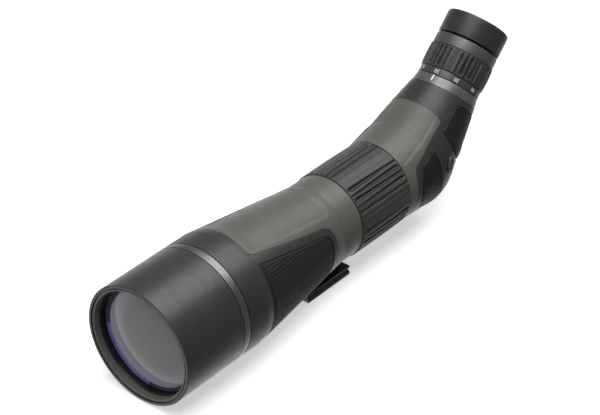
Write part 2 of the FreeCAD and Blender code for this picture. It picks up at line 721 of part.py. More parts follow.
def build_eyepiece_fixed():
    collar_bore = Dim("eye_tube")
    turned("index_collar", [
        (Dim("collar_start"), collar_bore), (Dim("collar_start"), 28.0),
        (Dim("collar_end"), 26.45), (Dim("collar_end"), collar_bore)], "eye")
    neck, bore = Dim("eye_tube", -1.5), Dim("eye_bore")
    body = turned("eyepiece_tube", [
        (50.0, bore), (50.0, collar_bore), (Dim("rear_ring_end"), collar_bore),
        (Dim("rear_ring_end"), neck), (Dim("cup_end", -3.2), neck), (Dim("cup_end", -3.2), bore)],
        "eye")
    cut_pin_slots(body, 77.0, SIZES["zoom_travel"], 1.6, SIZES["eye_tube"] + 2)
    ring = Dim("rear_ring_radius")
    turned("eyepiece_rear_ring", [
        (Dim("rear_ring_start"), collar_bore), (Dim("rear_ring_start"), Dim("rear_ring_radius", -0.4)),
        (Dim("rear_ring_start", 0.4), ring), (Dim("rear_ring_end", -0.4), ring),
        (Dim("rear_ring_end"), Dim("rear_ring_radius", -0.4)), (Dim("rear_ring_end"), collar_bore)],
        "eye")
    tube("field_stop", 52.0, 55.0, 12.0, bore, "eye")
    lens("field_lens", 56.0, 61.0, SIZES["eye_bore"] - 0.1, -1.4, 1.4, "eye")
    lens("eye_lens", 106.0, 112.5, SIZES["eye_bore"] - 0.1, -1.8, 1.6, "eye")
    tube("eye_lens_ring", 113.0, 115.5, 15.4, bore, "eye")


def build_zoom():
    """Number ring, knob and hub turn together and drive the zoom lenses along the tube."""
    bore, relief = Dim("eye_tube", SIZES["running_gap"]), Dim("knob_core", -1.6)
    tube("zoom_number_ring", Dim("number_start"), Dim("number_end"), bore, Dim("number_radius"), "eye")
    core = Dim("knob_core")
    turned("zoom_hub", [
        (Dim("number_end"), bore), (Dim("number_end"), core), (Dim("knob_end", 0.2), core),
        (Dim("knob_end", 0.2), bore), (89.0, bore), (89.0, relief), (74.5, relief), (74.5, bore)],
        "eye")
    ribbed_ring("zoom_grip", SIZES["knob_start"], SIZES["knob_end"], SIZES["knob_core"],
                SIZES["knob_radius"], 8.9, 1.3, 1.7, "eye")
    cell = turned("zoom_lens_cell", [
        (70.0, 14.5), (70.0, Dim("eye_bore", -0.06)), (84.0, Dim("eye_bore", -0.06)),
        (84.0, 13.2), (82.5, 13.2), (82.5, 14.5)], "eye")
    cut_round_holes(cell, 77.0, 1.5)
    lens("zoom_lens", 71.5, 74.5, 14.4, -1.6, 0.9, "eye")
    lens("zoom_lens_rear", 79.0, 82.2, 14.4, -0.9, 1.2, "eye")
    pins = [rod_x(1.5, side * 15.5, side * 23.0, 77.0) for side in (-1, 1)]
    solid("zoom_pins", Part.makeCompound(pins), "eye")


def build_eyecup():
    """Twist-up eyecup: a keyed sleeve that slides, and the rubber cup that turns on it."""
    inner = Dim("eye_tube", -1.5 + SIZES["running_gap"])
    sleeve = Dim("eye_tube", 0.4)
    tube("eyecup_sleeve", Dim("cup_start", -1.2), Dim("cup_end", -3.0), inner, sleeve, "eye")
    bore = Dim("eye_tube", 0.4 + SIZES["running_gap"])
    lip, outer = Dim("eye_bore", 1.3), Dim("cup_radius")
    turned("eyecup", [
        (Dim("cup_start"), bore), (Dim("cup_start"), Dim("cup_radius", -0.4)),
        (Dim("cup_start", 0.4), outer), (Dim("cup_end", -2.6), outer),
        (Dim("cup_end", -0.9), Dim("cup_radius", -0.7)), (Dim("cup_end"), Dim("cup_radius", -2.4)),
        (Dim("cup_end"), Dim("eye_bore", 2.6)), (Dim("cup_end", -0.7), lip),
        (Dim("cup_end", -2.5), lip), (Dim("cup_end", -2.5), bore)], "eye")


def check_and_export():
    doc.recompute()
    for item in doc.Objects:
        if "Invalid" in item.State or "Error" in item.State:
            raise RuntimeError(f"{item.Name} failed: {item.State}")
    for item in sub_parts:
        if item.Shape.isNull() or not item.Shape.isValid():
            raise RuntimeError(f"{item.Label} has no valid shape")
    os.makedirs("parts", exist_ok=True)
    for item in sub_parts:
        item.Shape.exportStep(f"parts/{item.Label}.step")
        print(f"{item.Label:28s} {len(item.Shape.Solids)} solid(s) {item.Shape.Volume:12.1f} mm3")


def main():
    fill_sheet()
    build_sunshade()
    build_objective()
    build_front_trim()
    build_barrel()
    build_cone_skins()
    build_foot()
    build_focus()
    build_housing()
    build_strap_lugs()
    build_prism()
    build_eyepiece_fixed()
    build_zoom()
    build_eyecup()
    check_and_export()


main()
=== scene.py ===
"""Looks of the angled spotting scope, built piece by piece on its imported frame."""

import json
import math

import bmesh
import bpy
import numpy as np
from mathutils import Matrix, Vector
from mathutils.geometry import delaunay_2d_cdt


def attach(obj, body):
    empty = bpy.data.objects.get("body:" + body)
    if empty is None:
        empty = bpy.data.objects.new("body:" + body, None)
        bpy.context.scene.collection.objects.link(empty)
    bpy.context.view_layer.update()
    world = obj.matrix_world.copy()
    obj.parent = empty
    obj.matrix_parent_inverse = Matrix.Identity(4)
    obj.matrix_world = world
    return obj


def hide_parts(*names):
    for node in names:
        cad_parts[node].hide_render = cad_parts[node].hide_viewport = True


MM = 0.001
AXIS_HEIGHT = 48.5
FOOT_STATION = 191.3
ELBOW = 317.6
SLANT = math.sqrt(0.5)
EYE_SEAT = 58.4
SHARP_ANGLE = math.radians(38.0)
PAD_GAP = 0.35

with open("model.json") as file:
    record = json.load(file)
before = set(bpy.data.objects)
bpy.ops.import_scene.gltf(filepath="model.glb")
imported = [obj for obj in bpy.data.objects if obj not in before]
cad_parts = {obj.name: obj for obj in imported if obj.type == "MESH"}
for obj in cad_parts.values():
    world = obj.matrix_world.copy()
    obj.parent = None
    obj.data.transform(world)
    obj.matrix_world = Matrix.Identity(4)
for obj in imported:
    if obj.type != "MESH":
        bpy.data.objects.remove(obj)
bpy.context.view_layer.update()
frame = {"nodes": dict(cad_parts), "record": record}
nodes = frame["nodes"]
slots = {entry["node"]: entry["material_slot"] for entry in frame["record"]["subparts"]}


# ---------------------------------------------------------------- materials

def shader(name, color, rough, metal=0.0, gloss=0.5, grain=0.35, grain_size=0.5, mottle=0.06,
           wear_and_highlight=0.25, brushed=0.0, tilt=0.0, sheen=0.0):
    """Painted, moulded or machined finish: fine grain, slow mottling, edges worn lighter by one
    point attribute, which on the ribbed rings also carries painted highlights, and grooves darkened
    with painted shade by another."""
    mat = bpy.data.materials.new(name)
    mat.use_nodes = True
    tree = mat.node_tree
    links = tree.links
    surface = tree.nodes["Principled BSDF"]
    surface.inputs["Metallic"].default_value = metal
    surface.inputs["Specular IOR Level"].default_value = gloss
    surface.inputs["Sheen Weight"].default_value = sheen
    surface.inputs["Sheen Roughness"].default_value = 0.4
    place = tree.nodes.new("ShaderNodeTexCoord")
    turn = tree.nodes.new("ShaderNodeMapping")
    turn.vector_type = "TEXTURE"
    turn.inputs["Rotation"].default_value = (math.radians(tilt), 0, 0)
    links.new(place.outputs["Object"], turn.inputs["Vector"])

    def noise(size_mm, detail, roughness=0.5, source=turn):
        node = tree.nodes.new("ShaderNodeTexNoise")
        node.inputs["Scale"].default_value = 1000.0 / size_mm
        node.inputs["Detail"].default_value = detail
        node.inputs["Roughness"].default_value = roughness
        links.new(source.outputs[0], node.inputs["Vector"])
        return node

    def ramp(source, low, high, to_low, to_high):
        node = tree.nodes.new("ShaderNodeMapRange")
        node.inputs["From Min"].default_value = low
        node.inputs["From Max"].default_value = high
        node.inputs["To Min"].default_value = to_low
        node.inputs["To Max"].default_value = to_high
        links.new(source, node.inputs["Value"])
        return node.outputs["Result"]

    def blend(factor, first, second, kind="MIX"):
        node = tree.nodes.new("ShaderNodeMix")
        node.data_type = "RGBA"
        node.blend_type = kind
        for socket, value in ((0, factor), (6, first), (7, second)):
            if isinstance(value, (tuple, float)):
                node.inputs[socket].default_value = value
            else:
                links.new(value, node.inputs[socket])
        return node.outputs[2]

    def math_node(kind, first, second):
        node = tree.nodes.new("ShaderNodeMath")
        node.operation = kind
        for socket, value in ((0, first), (1, second)):
            if isinstance(value, float):
                node.inputs[socket].default_value = value
            else:
                links.new(value, node.inputs[socket])
        return node.outputs[0]

    slow = noise(38.0, 3.0)
    patchy = noise(6.0, 4.0, 0.6)
    fine = noise(grain_size, 2.0, 0.6)
    dark = tuple(c * (1 - mottle) for c in color) + (1.0,)
    light = tuple(min(1.0, c * (1 + mottle)) for c in color) + (1.0,)
    body = blend(ramp(slow.outputs["Fac"], 0.35, 0.65, 0.0, 1.0), dark, light)
    speck = tuple(c * 0.8 for c in color) + (1.0,)
    body = blend(ramp(fine.outputs["Fac"], 0.3, 0.55, 0.45, 0.0), body, speck)
    # Worn edges drawn lighter, and on the ribbed rings painted highlights on the flute edges and
    # ridges.
    edge = tree.nodes.new("ShaderNodeAttribute")
    edge.attribute_name = "wear_and_highlight"
    wear_and_highlight_amount = math_node("MULTIPLY", edge.outputs["Fac"],
                       ramp(patchy.outputs["Fac"], 0.42, 0.62, 0.15, 1.0))
    wear_and_highlight_amount = math_node("MULTIPLY", wear_and_highlight_amount, float(wear_and_highlight))
    pale = tuple(min(1.0, c * 1.8 + 0.05) for c in color) + (1.0,)
    body = blend(wear_and_highlight_amount, body, pale)
    # Painted shade: grooves drawn towards a near-black copy of the colour.
    groove_shade = tree.nodes.new("ShaderNodeAttribute")
    groove_shade.attribute_name = "groove_shade"
    groove_shade_amount = math_node("MULTIPLY", groove_shade.outputs["Fac"],
                      ramp(patchy.outputs["Fac"], 0.3, 0.7, 0.62, 0.8))
    body = blend(groove_shade_amount, body, tuple(c * 0.2 for c in color) + (1.0,))
    links.new(body, surface.inputs["Base Color"])
    shine = ramp(patchy.outputs["Fac"], 0.3, 0.7, rough - 0.05, rough + 0.06)
    if brushed:
        stretch = tree.nodes.new("ShaderNodeMapping")
        stretch.vector_type = "TEXTURE"
        stretch.inputs["Rotation"].default_value = (math.radians(tilt), 0, 0)
        stretch.inputs["Scale"].default_value = (40.0, 1.0, 40.0)
        links.new(place.outputs["Object"], stretch.inputs["Vector"])
        lines = noise(0.35, 3.0, 0.7, stretch)
        shine = math_node("ADD", shine, ramp(lines.outputs["Fac"], 0.3, 0.7, -brushed, brushed))
        height = math_node("ADD", math_node("MULTIPLY", fine.outputs["Fac"], 0.3),
                           lines.outputs["Fac"])
    else:
        height = math_node("ADD", fine.outputs["Fac"],
                           math_node("MULTIPLY", patchy.outputs["Fac"], 0.5))
    links.new(shine, surface.inputs["Roughness"])
    bump = tree.nodes.new("ShaderNodeBump")
    bump.inputs["Strength"].default_value = grain
    bump.inputs["Distance"].default_value = 0.05 * MM
    links.new(height, bump.inputs["Height"])
    links.new(bump.outputs["Normal"], surface.inputs["Normal"])
    return mat


def coated_glass(name):
    """Opaque front element. Its grey disc, violet ring and crescent are painted zones, placed to
    match the photo's view; they don't move with the view as real reflections would."""
    mat = bpy.data.materials.new(name)
    mat.use_nodes = True
    tree = mat.node_tree
    links = tree.links
    surface = tree.nodes["Principled BSDF"]
    surface.inputs["IOR"].default_value = 1.45
    surface.inputs["Coat Weight"].default_value = 0.25
    surface.inputs["Coat Roughness"].default_value = 0.02
    place = tree.nodes.new("ShaderNodeTexCoord")

    def ball(centre, near, far):
        """1 inside near (mm) of a point in the lens plane, falling to 0 at far."""
        shift = tree.nodes.new("ShaderNodeVectorMath")
        shift.operation = "MULTIPLY_ADD"
        shift.inputs[1].default_value = (1.0, 0.0, 1.0)
        shift.inputs[2].default_value = (-centre[0] * MM, 0.0, -(centre[1] + AXIS_HEIGHT) * MM)
        links.new(place.outputs["Object"], shift.inputs[0])
        far_off = tree.nodes.new("ShaderNodeVectorMath")
        far_off.operation = "LENGTH"
        links.new(shift.outputs["Vector"], far_off.inputs[0])
        fall = tree.nodes.new("ShaderNodeMapRange")
        fall.interpolation_type = "SMOOTHSTEP"
        fall.inputs["From Min"].default_value = near * MM
        fall.inputs["From Max"].default_value = far * MM
        fall.inputs["To Min"].default_value = 1.0
        fall.inputs["To Max"].default_value = 0.0
        links.new(far_off.outputs["Value"], fall.inputs["Value"])
        return fall.outputs["Result"]

    def blend(factor, first, second):
        node = tree.nodes.new("ShaderNodeMix")
        node.data_type = "RGBA"
        links.new(factor, node.inputs[0])
        for socket, value in ((6, first), (7, second)):
            if isinstance(value, tuple):
                node.inputs[socket].default_value = value
            else:
                links.new(value, node.inputs[socket])
        return node.outputs[2]

    # Painted reflections and shade: the grey disc, darkest near a point off its centre and lighter
    # out towards its rim, the dark violet ring round it and the purple crescent.
    disc = blend(ball((9.0, 8.0), 26.0, 48.0), (0.42, 0.40, 0.49, 1), (0.132, 0.130, 0.142, 1))
    crescent = blend(ball((-28.0, -30.0), 28.0, 29.5), (0.08, 0.07, 0.14, 1), (0.26, 0.22, 0.55, 1))
    ring = blend(ball((0.0, 0.0), 41.4, 42.2), (0.004, 0.004, 0.006, 1), crescent)
    body = blend(ball((2.4, 1.2), 38.3, 38.9), ring, disc)
    links.new(body, surface.inputs["Base Color"])
    haze = tree.nodes.new("ShaderNodeTexNoise")
    haze.inputs["Scale"].default_value = 60.0
    haze.inputs["Detail"].default_value = 4.0
    links.new(place.outputs["Object"], haze.inputs["Vector"])
    film = tree.nodes.new("ShaderNodeMapRange")
    film.inputs["To Min"].default_value = 0.06
    film.inputs["To Max"].default_value = 0.14
    links.new(haze.outputs["Fac"], film.inputs["Value"])
    links.new(film.outputs["Result"], surface.inputs["Roughness"])
    return mat


MATERIALS = {
    "sunshade_paint": shader("powder_coat", (0.030, 0.030, 0.029), 0.38, gloss=0.62, grain=0.35),
    "mouth_ring": shader("mouth_lacquer", (0.135, 0.135, 0.115), 0.5, gloss=0.4),
    "felt": shader("felt", (0.012, 0.012, 0.012), 0.9, gloss=0.1, grain=0.8, sheen=0.4),
    "black_anodised": shader("black_anodised", (0.012, 0.012, 0.013), 0.38, gloss=0.5, grain=0.2),
    "silver_trim": shader("silver_trim", (0.21, 0.21, 0.206), 0.38, metal=1.0, grain=0.5,
                          brushed=0.12, wear_and_highlight=0.4),
    "olive_armour": shader("olive_paint", (0.107, 0.107, 0.093), 0.42, gloss=0.5, grain=0.3,
                           mottle=0.05, wear_and_highlight=0.35),
    "black_armour": shader("black_armour", (0.028, 0.028, 0.0275), 0.4, gloss=0.6, grain=0.3),
    "black_grip": shader("black_grip", (0.013, 0.013, 0.013), 0.55, gloss=0.3, grain=0.6,
                         grain_size=0.4, wear_and_highlight=0.6),
    "ring_rubber": shader("ring_rubber", (0.041, 0.041, 0.0395), 0.42, gloss=0.5, grain=0.5,
                          wear_and_highlight=0.6),
    "cast_alloy": shader("cast_alloy", (0.05, 0.05, 0.05), 0.5, metal=0.4, grain=0.5),
    "prism_glass": shader("prism_glass", (0.06, 0.065, 0.07), 0.08, gloss=0.8, grain=0.02),
    "steel": shader("steel", (0.5, 0.5, 0.5), 0.3, metal=1.0, brushed=0.05),
    "black_steel": shader("black_steel", (0.03, 0.03, 0.03), 0.35, gloss=0.5, wear_and_highlight=0.6),
    "brass": shader("brass", (0.55, 0.4, 0.17), 0.3, metal=1.0, brushed=0.06),
    "seal_rubber": shader("seal_rubber", (0.01, 0.01, 0.01), 0.5),
    "satin_grey": shader("satin_grey", (0.225, 0.225, 0.22), 0.43, metal=0.8, grain=0.35,
                         brushed=0.05, tilt=45.0, wear_and_highlight=0.3),
    "number_black": shader("number_black", (0.09, 0.09, 0.087), 0.34, metal=0.4, grain=0.3,
                           brushed=0.04, tilt=45.0, wear_and_highlight=0.3),
    "eyecup_rubber": shader("eyecup_rubber", (0.026, 0.026, 0.0255), 0.42, gloss=0.5, grain=0.4),
    "coated_glass": coated_glass("coated_glass"),
}
DARK_SATIN = shader("dark_satin", (0.155, 0.155, 0.152), 0.45, metal=0.7, grain=0.35, brushed=0.05,
                    tilt=45.0, wear_and_highlight=0.3)
LUG_GREY = shader("lug_grey", (0.06, 0.06, 0.059), 0.42, gloss=0.5, grain=0.3, wear_and_highlight=0.5)
WHITE_INK = shader("white_ink", (0.86, 0.86, 0.84), 0.5, gloss=0.3, grain=0.15, mottle=0.03)
ENGRAVED = shader("index_ink", (0.95, 0.95, 0.94), 0.45, gloss=0.3, grain=0.1, mottle=0.02)


# ---------------------------------------------------------------- axes and meshes

def main_axis(spots):
    """(station, across, up) in mm about the main axis, as points of the row frame in metres."""
    station, across, up = np.asarray(spots, float).T
    return np.stack([across, station - FOOT_STATION, up + AXIS_HEIGHT], 1) * MM


def eye_axis(spots):
    """The same about the eyepiece's axis, with stations counted from the elbow."""
    station, across, up = np.asarray(spots, float).T
    return np.stack([across, ELBOW - FOOT_STATION + SLANT * (station - up),
                     AXIS_HEIGHT + SLANT * (station + up)], 1) * MM


def add_piece(name, spots, faces, material, body, replaced=(), wear_and_highlight=None, groove_shade=None):
    """Mesh riding on a body. Wear, which also carries painted highlights, and painted groove shade
    are per point; replaced names its CAD nodes.
    """
    mesh = bpy.data.meshes.new(name)
    mesh.from_pydata([tuple(p) for p in spots], [], [tuple(int(i) for i in f) for f in faces])
    mesh.validate()
    mesh.shade_smooth()
    mesh.set_sharp_from_angle(angle=SHARP_ANGLE)
    for label, values in (("wear_and_highlight", wear_and_highlight), ("groove_shade", groove_shade)):
        if values is not None:
            attribute = mesh.attributes.new(label, "FLOAT", "POINT")
            attribute.data.foreach_set("value", np.asarray(values, np.float32))
    mesh.materials.append(material)
    piece = bpy.data.objects.new(name, mesh)
    bpy.context.scene.collection.objects.link(piece)
    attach(piece, body)
    if replaced:
        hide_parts(*replaced)
    return piece


def face_outward(piece):
    work = bmesh.new()
    work.from_mesh(piece.data)
    bmesh.ops.recalc_face_normals(work, faces=work.faces)
    work.to_mesh(piece.data)
    work.free()
    piece.data.shade_smooth()
    piece.data.set_sharp_from_angle(angle=SHARP_ANGLE)


def rounded(corners, steps=6, closed=True):
    """Outline with each (x, y, fillet) corner rounded. Returns points and how worn each one is."""
    points, wear_and_highlight = [], []
    count = len(corners)
    for index, (x, y, fillet) in enumerate(corners):
        here = np.array([x, y], float)
        if fillet <= 0 or (not closed and index in (0, count - 1)):
            points.append(here)
            wear_and_highlight.append(0.0)
            continue
        before = np.array(corners[index - 1][:2], float) - here
        after = np.array(corners[(index + 1) % count][:2], float) - here
        reach_before, reach_after = np.linalg.norm(before), np.linalg.norm(after)
        cosine = np.clip(before @ after / (reach_before * reach_after), -0.9999, 0.9999)
        tangent = fillet / math.tan(math.acos(cosine) / 2)
        tangent = min(tangent, 0.48 * reach_before, 0.48 * reach_after)
        first, last = here + before / reach_before * tangent, here + after / reach_after * tangent
        for step in range(steps + 1):
            part = step / steps
            points.append((1 - part) ** 2 * first + 2 * part * (1 - part) * here + part ** 2 * last)
            wear_and_highlight.append(math.sin(math.pi * part))
    return np.array(points), np.array(wear_and_highlight)


def lathe(name, node, body, corners, axis=main_axis, segments=256, closed=True, material=None):
    """Turned piece: its outline of (station, radius, fillet) corners swept round an axis."""
    outline, edge_wear_and_highlight = rounded(corners, closed=closed)
    angles = np.linspace(0, 2 * math.pi, segments, endpoint=False)
    station = np.repeat(outline[:, 0], segments)
    radius = np.repeat(outline[:, 1], segments)
    theta = np.tile(angles, len(outline))
    spots = axis(np.stack([station, radius * np.cos(theta), radius * np.sin(theta)], 1))
    rows = len(outline)
    faces = []
    for row in range(rows if closed else rows - 1):
        low, high = row * segments, ((row + 1) % rows) * segments
        for k in range(segments):
            after = (k + 1) % segments
            faces.append((low + k, low + after, high + after, high + k))
    piece = add_piece(name, spots, faces, material or MATERIALS[slots[node]], body, (node,),
                      np.repeat(edge_wear_and_highlight, segments))
    if not closed:
        work = bmesh.new()
        work.from_mesh(piece.data)
        bmesh.ops.remove_doubles(work, verts=work.verts, dist=1e-7)
        work.to_mesh(piece.data)
        work.free()
    face_outward(piece)
    return piece


def ribbed_ring(name, node, body, axis, start, end, core, outer, flutes, segments=1080):
    """Rubber sleeve with wedge-shaped flutes in a pattern that repeats every 60 degrees.

    Each flute has (angle, depth, half width at the front, half width at the rear)."""
    crown = 0.35
    middle, half = (start + end) / 2, (end - start) / 2
    ends = np.array([0.0, 0.05, 0.14, 0.27, 0.5])
    inner = np.linspace(start + 0.85, end - 0.85, 60)
    stations = np.concatenate([start + ends, inner, end - ends[::-1]])
    theta = np.linspace(0, 2 * math.pi, segments, endpoint=False)
    grid_s, _ = np.meshgrid(stations, theta, indexing="ij")
    edge = np.minimum(grid_s - start, end - grid_s)
    rolled = 0.5 - np.sqrt(np.clip(0.25 - (0.5 - np.clip(edge, 0, 0.5)) ** 2, 0, None))
    radius = outer - crown * ((grid_s - middle) / half) ** 2 - rolled
    part = (grid_s - start) / (end - start)
    groove = np.zeros_like(radius)
    for angle, depth, front, rear in flutes:
        off = np.radians((np.degrees(theta) - angle + 30.0) % 60.0 - 30.0)[None, :] * outer
        broad = front + (rear - front) * part
        reach = np.minimum(grid_s - start - (1.0 if front > rear else 0.2),
                           end - grid_s - (1.0 if rear > front else 0.2))
        tip = np.clip(reach / (1.6 * broad), 0, 1)
        tip = np.sqrt(1 - (1 - tip) ** 2)
        across = np.clip(1 - (np.abs(off) / np.clip(broad * tip, 0.02, None)) ** 2.0, 0, None)
        sink = depth * tip ** 0.6 * (broad / max(front, rear)) ** 0.5
        groove = np.maximum(groove, sink * across)
    radius = radius - groove
    # Painted highlights on the flute edges and on the ridges between the flutes of each cluster,
    # added to wear along the ring's two ends.
    crest_highlight = np.clip(1 - groove / 0.5, 0, 1) * np.abs(np.gradient(groove, axis=1))
    ribs = (np.abs((np.degrees(theta) - 16.0) % 60.0 - 30.0) < 13.0)[None, :]
    ridge_highlight = 0.5 * ribs * np.clip(1 - groove / 0.5, 0, 1)
    edge_wear_and_highlight = np.clip(crest_highlight * 4 + (edge < 0.4) * 0.5 + ridge_highlight, 0, 1)
    rows = [axis(np.stack([grid_s[i], radius[i] * np.cos(theta), radius[i] * np.sin(theta)], 1))
            for i in range(len(stations))]
    for station in (end, start):
        rows.append(axis(np.stack([np.full(segments, station), core * np.cos(theta),
                                   core * np.sin(theta)], 1)))
    count = len(rows)
    faces = []
    for row in range(count):
        low, high = row * segments, ((row + 1) % count) * segments
        for k in range(segments):
            after = (k + 1) % segments
            faces.append((low + k, low + after, high + after, high + k))
    wear_and_highlight = np.concatenate([edge_wear_and_highlight.ravel(), np.zeros(2 * segments)])
    # Painted shade in the grooves, darker where they are deeper.
    groove_shade = np.concatenate([np.clip(groove / 1.4, 0, 1).ravel(), np.zeros(2 * segments)])
    piece = add_piece(name, np.concatenate(rows), faces, MATERIALS[slots[node]], body, (node,),
                      wear_and_highlight, groove_shade)
    face_outward(piece)
    return piece


# ---------------------------------------------------------------- moulded panels

def inside(points, loop):
    """Which points lie inside a closed loop."""
    result = np.zeros(len(points), bool)
    x, y = points[:, 0], points[:, 1]
    for (x0, y0), (x1, y1) in zip(loop, np.roll(loop, -1, axis=0)):
        crosses = (y0 > y) != (y1 > y)
        with np.errstate(divide="ignore", invalid="ignore"):
            reach = (x1 - x0) * (y - y0) / (y1 - y0) + x0
        result ^= crosses & (x < reach)
    return result


def distance(points, loop, closed=True):
    """Shortest distance from each point to a polyline."""
    ends = np.roll(loop, -1, axis=0) if closed else loop[1:]
    starts = loop if closed else loop[:-1]
    best = np.full(len(points), 1e9)
    for a, b in zip(starts, ends):
        run = b - a
        length = run @ run
        if length < 1e-12:
            continue
        part = np.clip((points - a) @ run / length, 0, 1)
        best = np.minimum(best, np.linalg.norm(points - a - part[:, None] * run, axis=1))
    return best


def resample(loop, spacing):
    """The loop with points added so that no run is longer than the spacing."""
    result = []
    for a, b in zip(loop, np.roll(loop, -1, axis=0)):
        pieces = max(1, int(math.ceil(np.linalg.norm(b - a) / spacing)))
        for k in range(pieces):
            result.append(a + (b - a) * k / pieces)
    return np.array(result)


def outward(loop):
    """Unit directions out of a closed loop, one at each point."""
    tangent = np.roll(loop, -1, axis=0) - np.roll(loop, 1, axis=0)
    tangent /= np.linalg.norm(tangent, axis=1)[:, None] + 1e-12
    out = np.stack([tangent[:, 1], -tangent[:, 0]], 1)
    return -out if inside(loop + out * 0.05, loop).mean() > 0.5 else out


def grown(loop, amount):
    """The loop moved outwards by an amount."""
    return np.asarray(loop) + outward(np.asarray(loop)) * amount


def lifted(surface, spots, height):
    """Points of a surface at a height above it, and its unit normals."""
    step = 0.02
    base = surface(spots)
    along = surface(spots + [step, 0]) - base
    round_it = surface(spots + [0, step]) - base
    normal = np.cross(round_it, along)
    normal /= np.linalg.norm(normal, axis=1)[:, None]
    return base + normal * height[:, None], normal


def panel(name, node, body, surface, outline, holes=(), grid=(1.2, 1.2), relief=None, edge=0.35,
          drop=1.2, material=None, replaced=None, axis=main_axis):
    """Skin cut to an outline on a surface, with rounded edges, walls and a relief on its face.

    Outlines are in mm: station along the surface by distance round it."""
    loops = [np.asarray(outline, float)] + [np.asarray(hole, float) for hole in holes]
    inner_loops, outs = [], []
    for number, loop in enumerate(loops):
        loop = resample(loop, 0.9)
        out = outward(loop) * (-1 if number else 1)
        outs.append(out)
        inner_loops.append(loop - out * edge)
    low, high = inner_loops[0].min(0), inner_loops[0].max(0)
    us = np.arange(low[0] + grid[0] / 2, high[0], grid[0])
    vs = np.arange(low[1] + grid[1] / 2, high[1], grid[1])
    mesh_u, mesh_v = np.meshgrid(us, vs, indexing="ij")
    inner = np.stack([mesh_u.ravel(), mesh_v.ravel()], 1)
    scale = np.array([1 / grid[0], 1 / grid[1]])
    keep = inside(inner, inner_loops[0])
    for hole in inner_loops[1:]:
        keep &= ~inside(inner, hole)
    for loop in inner_loops:
        keep &= distance(inner * scale, loop * scale) > 0.45
    inner = inner[keep]
    domain = np.concatenate(inner_loops + [inner])
    edges, first = [], 0
    for loop in inner_loops:
        count = len(loop)
        edges += [(first + k, first + (k + 1) % count) for k in range(count)]
        first += count
    flat = [Vector(p) for p in domain * scale]
    new_flat, _, triangles, origin, _, _ = delaunay_2d_cdt(flat, edges, [], 1, 1e-7)
    spots = np.array([tuple(p) for p in new_flat]) / scale
    triangles = np.array([t for t in triangles if len(t) == 3])
    middle = spots[triangles].mean(1)
    wanted = inside(middle, inner_loops[0])
    for hole in inner_loops[1:]:
        wanted &= ~inside(middle, hole)
    triangles = triangles[wanted]
    height = np.zeros(len(spots)) if relief is None else relief(spots)
    top, _ = lifted(surface, spots, height)
    index_of = {old: new for new, olds in enumerate(origin) for old in olds}
    points, faces, wear_and_highlight = list(top), [tuple(t) for t in triangles], [0.0] * len(top)
    first = 0
    for number, loop in enumerate(inner_loops):
        count = len(loop)
        ids = [index_of[first + k] for k in range(count)]
        first += count
        rim = top[ids]
        _, normal = lifted(surface, spots[ids], np.zeros(count))
        out = surface(spots[ids] + outs[number] * 0.1) - surface(spots[ids])
        out -= normal * (out * normal).sum(1)[:, None]
        out /= np.linalg.norm(out, axis=1)[:, None]
        row = ids
        for step in range(1, 6):
            angle = math.pi / 2 * min(step, 4) / 4
            sink = edge * (1 - math.cos(angle)) + (drop if step == 5 else 0)
            spread = edge * math.sin(angle)
            ring = rim + out * spread - normal * sink
            new_row = list(range(len(points), len(points) + count))
            points += list(ring)
            wear_and_highlight += [math.sin(math.pi * step / 4) if step < 4 else 0.0] * count
            for k in range(count):
                after = (k + 1) % count
                faces.append((row[k], row[after], new_row[after], new_row[k]))
            row = new_row
    piece = add_piece(name, axis(np.array(points)), faces, material or MATERIALS[slots[node]], body,
                      replaced if replaced is not None else (node,), wear_and_highlight)
    face_outward(piece)
    return piece


def smooth_step(value, low, high):
    part = np.clip((value - low) / (high - low), 0, 1)
    return part * part * (3 - 2 * part)


# ---------------------------------------------------------------- sunshade and front
# Shaped after the photo and not the CAD: the mouth's counterbore, which the CAD has not, the mouth
# ring (CAD inner radius 43.3, from station 0.9) and the retaining ring (CAD inner radius 42.4).

lathe("sunshade_shell", "sunshade_tube", "sunshade", [
    (1.6, 44.6, 0), (1.6, 45.5, 0.15), (0, 45.5, 0.3), (0, 48, 0.9), (59.5, 48, 0.4),
    (59.5, 46.25, 0.2), (6, 46.25, 0), (6, 44.65, 0)])
lathe("mouth_ring", "sunshade_mouth_ring", "sunshade", [
    (1.6, 44.55, 0), (0.5, 44.5, 0.2), (0.5, 43.9, 0.2), (1.2, 43.0, 0.3), (6, 43.0, 0.1),
    (6, 44.55, 0)])
lathe("retaining_ring", "lens_retaining_ring", "scope_body", [
    (6.4, 44.15, 0), (6.4, 43.1, 0.25), (7.0, 42.75, 0.2), (7.9, 42.7, 0), (7.9, 43.0, 0),
    (8.4, 43.0, 0), (8.4, 42.7, 0), (10.9, 42.7, 0.1), (10.9, 44.15, 0)])
lathe("trim_band_shell", "trim_band", "scope_body", [
    (60.0, 46.02, 0), (60.0, 48, 0.3), (66.2, 48, 0.3), (66.2, 46.02, 0)])
lathe("front_ring_shell", "front_ring", "scope_body", [
    (66.8, 46.02, 0), (66.8, 48.05, 0.35), (86.0, 48.05, 3.0), (91.75, 47.4, 0.08),
    (91.75, 46.02, 0)])


def lens_face(first, radius, bulge, count=14):
    """Half outline of a curved glass face, from the axis out to its edge."""
    spots = []
    for k in range(count + 1):
        reach = radius * math.sin(math.pi / 2 * k / count) if k < count else radius
        spots.append((first + bulge * (1 - (reach / radius) ** 2), reach, 0))
    return spots


lathe("objective_front_glass", "objective_lens_front", "scope_body",
      lens_face(11.3, 43.9, -3.7) + [(17.3, 43.9, 0)] + lens_face(17.3, 43.9, 2.2)[::-1][1:],
      closed=False)


# ---------------------------------------------------------------- conical barrel

# The cone: front station and radius, rear station and radius. ROUND is the radius at which
# distances round the barrel and the housing are measured.
CONE = (91.9, 47.35, 190.1, 35.4)
ROUND = 40.0
COVER_END = 189.95


